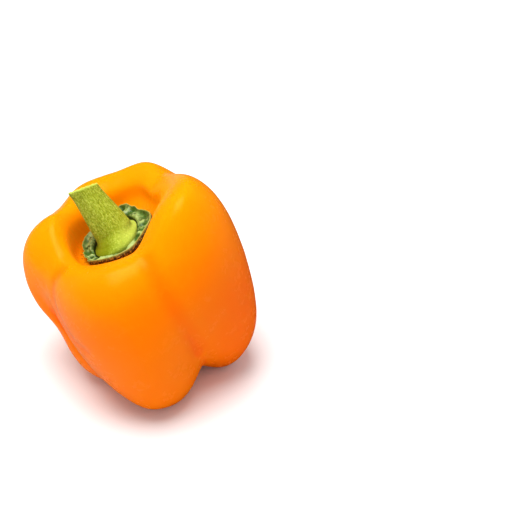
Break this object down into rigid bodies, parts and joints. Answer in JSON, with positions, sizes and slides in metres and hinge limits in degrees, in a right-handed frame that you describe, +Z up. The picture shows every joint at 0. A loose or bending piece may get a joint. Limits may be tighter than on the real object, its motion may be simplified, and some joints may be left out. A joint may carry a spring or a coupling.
{
  "type": "bell pepper",
  "caption": "Orange bell pepper as picked, a blocky lobed fruit standing on its lobe tips with a green calyx and a cut stem.",
  "frame": {"origin": "on the ground, below the middle of the pepper's outline", "axes": "+Z up from the ground it stands on, +Y away from the picture's camera, +X to the picture's right"},
  "size_m": [0.0888, 0.0822, 0.0866],
  "materials": {
    "skin": "waxy, glossy orange skin",
    "calyx": "fleshy green, with a pale waved rim and a brown corky edge beneath",
    "stem": "ribbed yellow green, with a dry pale cut end"
  },
  "bodies": {
    "root": {"fruit": "skin", "calyx": "calyx", "stem": "stem"}
  },
  "joints": []
}
